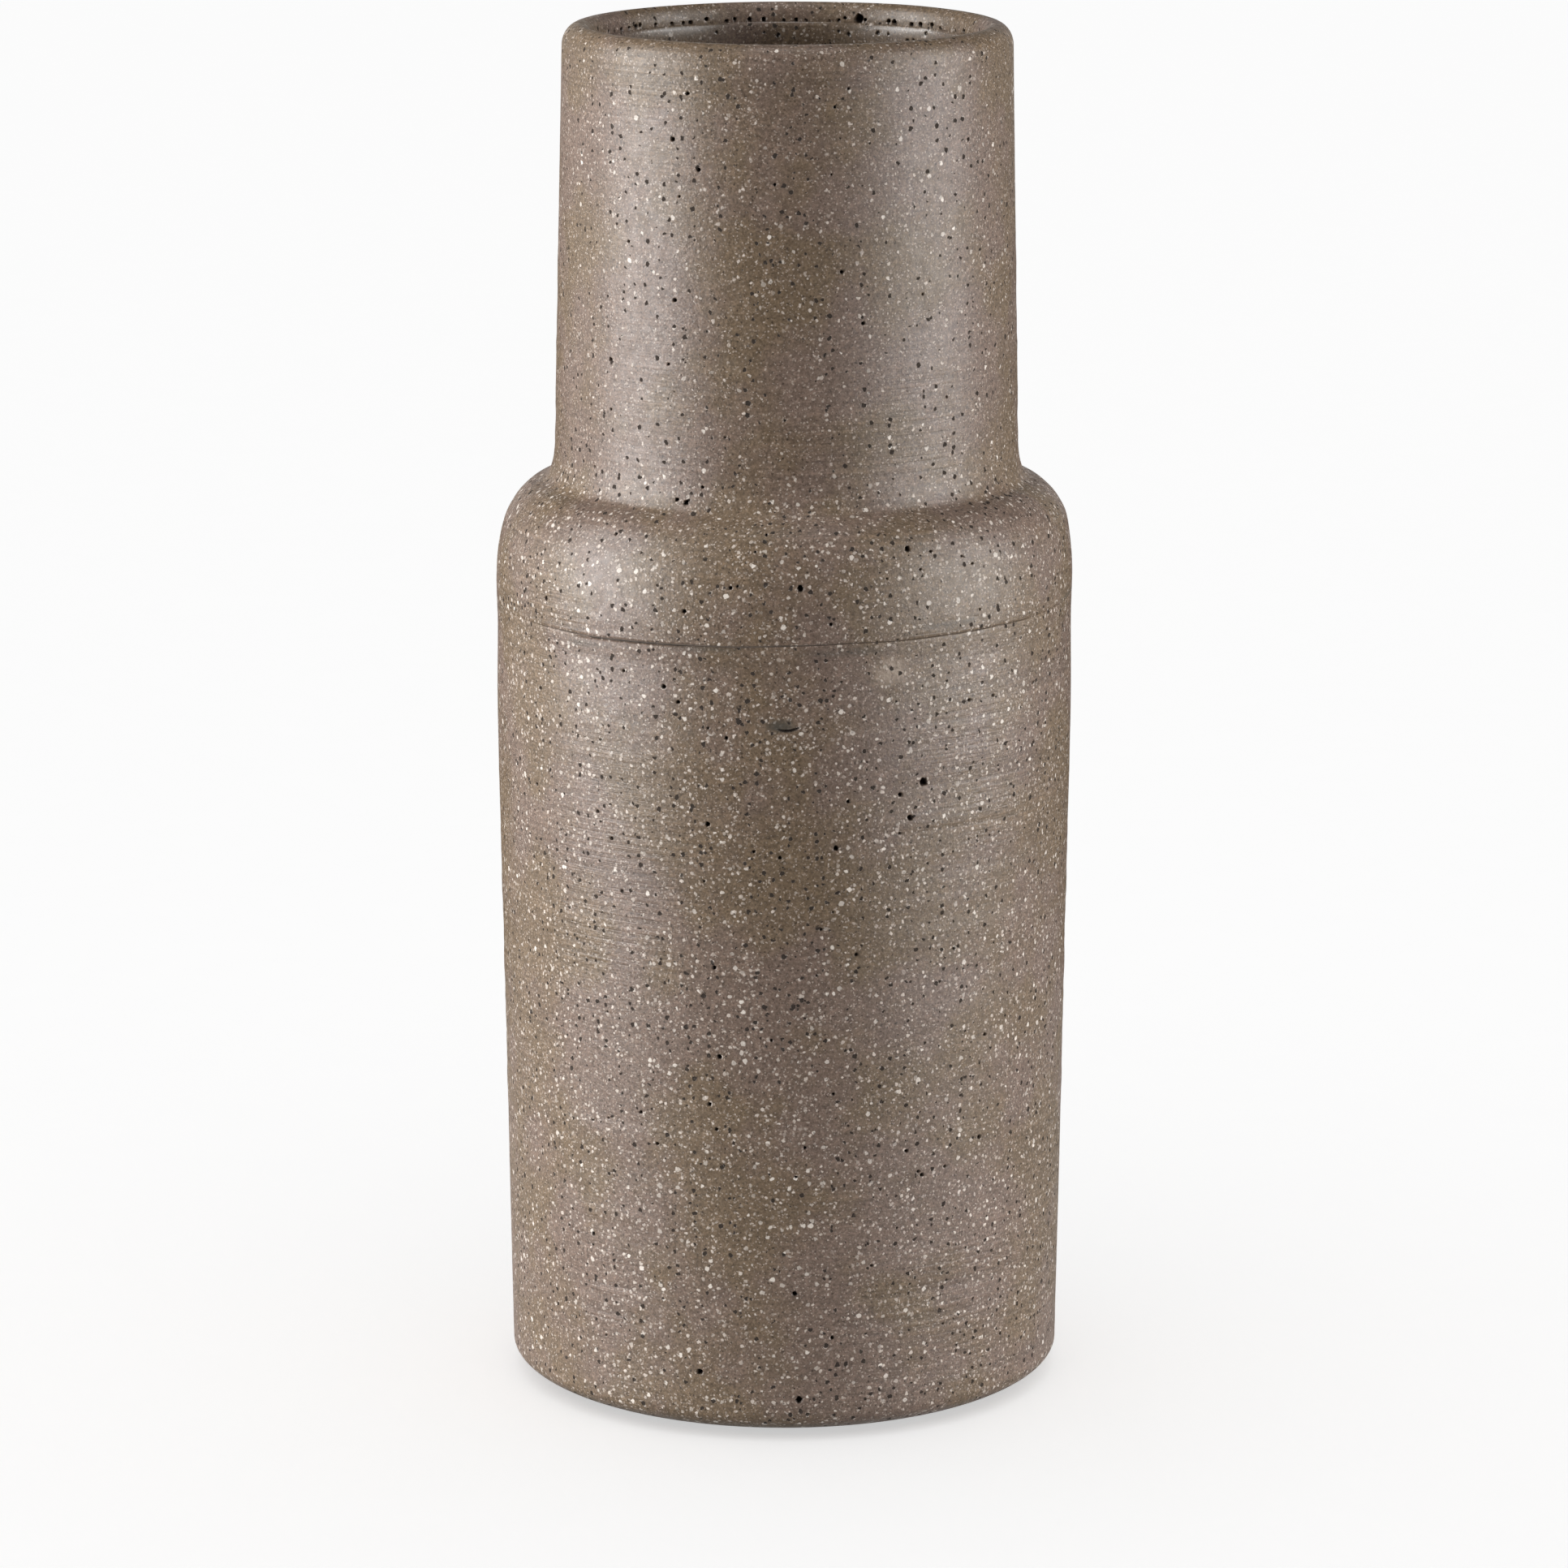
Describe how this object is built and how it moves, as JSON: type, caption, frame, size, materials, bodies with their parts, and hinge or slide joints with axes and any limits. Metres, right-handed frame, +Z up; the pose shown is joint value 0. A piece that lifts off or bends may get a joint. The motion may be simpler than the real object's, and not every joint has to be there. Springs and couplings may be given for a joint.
{
  "type": "pottery vase",
  "caption": "Tall cylindrical stoneware vase with a rounded shoulder and a wide straight neck, luted from clay sections and glazed inside, for holding flowers or stems.",
  "frame": {"origin": "centre of the foot, on the surface that the vase stands on", "axes": "+Z up along the vase's axis, through the mouth; the joint line is highest on the +X side; -Y is the face that shows the small tool mark"},
  "size_m": [0.1268, 0.1268, 0.3],
  "materials": {
    "clay": "satin, speckled with pale grog and dark pin pits",
    "slip": "matte",
    "joint_clay": "matte",
    "inner_glaze": "clear gloss over speckled clay"
  },
  "bodies": {
    "root": {"lower_section": "clay", "upper_section": "clay", "luting_slip": "slip", "joint_coil": "joint_clay", "inner_glaze": "inner_glaze"}
  },
  "joints": []
}
